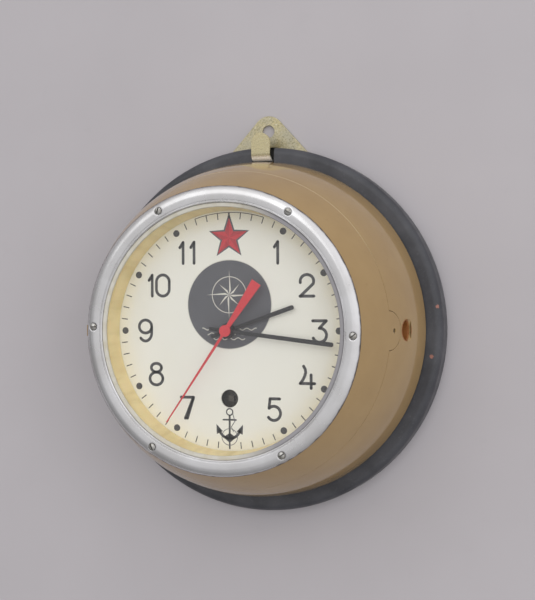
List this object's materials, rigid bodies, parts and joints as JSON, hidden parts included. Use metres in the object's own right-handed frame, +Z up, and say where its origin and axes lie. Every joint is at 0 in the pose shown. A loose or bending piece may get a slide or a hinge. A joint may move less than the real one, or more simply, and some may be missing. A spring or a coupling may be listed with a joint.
{
  "type": "marine clock",
  "caption": "Round wall clock with a black base ring, tan two part casing, hinged lockable front cover with a chromed bezel, cream dial, three hands and a key wound movement.",
  "frame": {"origin": "middle of the back cover's rear face, on the wall plane", "axes": "+X to the right of a person facing the dial, +Y into the wall, +Z up; the dial looks along -Y"},
  "size_m": [0.21, 0.0861, 0.2295],
  "materials": {
    "casing_plastic": "glossy tan moulding, scuffed",
    "ring_plastic": "black moulding, worn semi gloss",
    "passivated_steel": "zinc plated and yellow passivated",
    "steel": "turned and polished",
    "dark_steel": "hardened and tempered spring steel",
    "brass": "turned and lightly brushed",
    "chrome": "plated, worn and pitted",
    "glass": "clear, flat",
    "rubber_white": "white, yellowed with age",
    "dial_paint": "matt cream paint with printed marks",
    "reflector_paint": "white plastic yellowed with age",
    "hand_black": "satin black",
    "hand_red": "satin red",
    "support_plastic": "grey moulding",
    "ruby": "synthetic ruby"
  },
  "bodies": {
    "case": {"base_ring": "ring_plastic", "back_cover": "ring_plastic", "back_cover_screws": "steel", "hanger_plate": "passivated_steel", "hanger_rivets": "steel", "rear_casing": "casing_plastic", "casing_screws": "steel", "hinge_pin": "steel", "lock_bush": "brass", "movement_carrier": "steel", "carrier_screws": "steel", "dial_support": "support_plastic", "dial": "dial_paint", "front_plate": "brass", "rear_plate": "brass", "pillars": "brass", "pillar_screws": "steel", "plate_screws": "steel", "click_spring": "dark_steel", "click_screw": "steel", "escapement_bridge": "brass", "balance_cock": "brass", "bridge_screws": "steel", "jewels": "ruby", "hairspring": "dark_steel"},
    "cover": {"front_casing": "casing_plastic", "bezel": "chrome", "bezel_screws": "chrome", "glass": "glass", "glass_gasket": "rubber_white", "reflector_ring": "reflector_paint", "strike_hook": "passivated_steel", "strike_rivet": "steel"},
    "lock": {"lock_spindle": "steel", "lock_cam": "steel"},
    "winding": {"winding_arbor": "steel", "ratchet_wheel": "steel"},
    "click": {"click": "steel"},
    "barrel": {"barrel": "brass", "barrel_cover": "brass", "mainspring": "dark_steel"},
    "intermediate": {"intermediate_wheel": "brass"},
    "centre": {"centre_wheel": "brass", "cannon_pinion": "steel", "minute_hand": "hand_black"},
    "minute_wheel": {"minute_wheel": "brass"},
    "hour": {"hour_wheel": "brass", "hour_hand": "hand_black"},
    "third": {"third_wheel": "brass"},
    "seconds": {"seconds_wheel": "brass", "seconds_hand": "hand_red"},
    "escape": {"escape_wheel": "brass"},
    "pallet_lever": {"pallet_lever": "steel"},
    "balance": {"balance_wheel": "brass", "balance_roller": "ruby"}
  },
  "joints": [
    {"name": "cover_hinge", "type": "hinge", "parent": "case", "child": "cover", "pos_m": [-0.0852, -0.061, 0], "axis": [0, 0, -1], "range_deg": [0, 100]},
    {"name": "lock_turn", "type": "hinge", "parent": "case", "child": "lock", "pos_m": [0.0794, -0.044, 0], "axis": [-1, 0, 0], "range_deg": [0, 90]},
    {"name": "winding_turn", "type": "hinge", "parent": "case", "child": "winding", "pos_m": [0, -0.05, -0.0364], "axis": [0, 1, 0], "range_deg": [0, 2880]},
    {"name": "click_pivot", "type": "hinge", "parent": "case", "child": "click", "pos_m": [-0.01187, -0.04, -0.03086], "axis": [0, 1, 0], "range_deg": [0, 6]},
    {"name": "barrel_spin", "type": "hinge", "parent": "case", "child": "barrel", "pos_m": [0, -0.05, -0.0364], "axis": [0, 1, 0], "continuous": true},
    {"name": "intermediate_spin", "type": "hinge", "parent": "case", "child": "intermediate", "pos_m": [0.00767, -0.05, -0.01461], "axis": [0, 1, 0], "continuous": true},
    {"name": "centre_spin", "type": "hinge", "parent": "case", "child": "centre", "pos_m": [0, -0.05, 0], "axis": [0, 1, 0], "continuous": true},
    {"name": "minute_wheel_spin", "type": "hinge", "parent": "case", "child": "minute_wheel", "pos_m": [0.01128, -0.05, 0.0041], "axis": [0, 1, 0], "continuous": true},
    {"name": "hour_spin", "type": "hinge", "parent": "case", "child": "hour", "pos_m": [0, -0.05, 0], "axis": [0, 1, 0], "continuous": true},
    {"name": "third_spin", "type": "hinge", "parent": "case", "child": "third", "pos_m": [-0.01364, -0.05, 0.00788], "axis": [0, 1, 0], "continuous": true},
    {"name": "seconds_spin", "type": "hinge", "parent": "case", "child": "seconds", "pos_m": [0, -0.05, 0], "axis": [0, 1, 0], "continuous": true},
    {"name": "escape_spin", "type": "hinge", "parent": "case", "child": "escape", "pos_m": [0.0066, -0.05, 0.01143], "axis": [0, 1, 0], "continuous": true},
    {"name": "pallet_swing", "type": "hinge", "parent": "case", "child": "pallet_lever", "pos_m": [0.0107, -0.05, 0.01853], "axis": [0, 1, 0], "range_deg": [-5, 5]},
    {"name": "balance_swing", "type": "hinge", "parent": "case", "child": "balance", "pos_m": [0.01585, -0.05, 0.02745], "axis": [0, 1, 0], "range_deg": [-135, 135], "stiffness_Nm_per_rad": 0.00003}
  ],
  "couplings": [
    {"joint": "centre_spin", "follows": "seconds_spin", "ratio": 0.016667},
    {"joint": "hour_spin", "follows": "seconds_spin", "ratio": 0.0013889},
    {"joint": "minute_wheel_spin", "follows": "seconds_spin", "ratio": -0.0055556},
    {"joint": "third_spin", "follows": "seconds_spin", "ratio": -0.13333},
    {"joint": "intermediate_spin", "follows": "seconds_spin", "ratio": -0.0041667},
    {"joint": "barrel_spin", "follows": "seconds_spin", "ratio": 0.00069444},
    {"joint": "escape_spin", "follows": "seconds_spin", "ratio": -10}
  ]
}
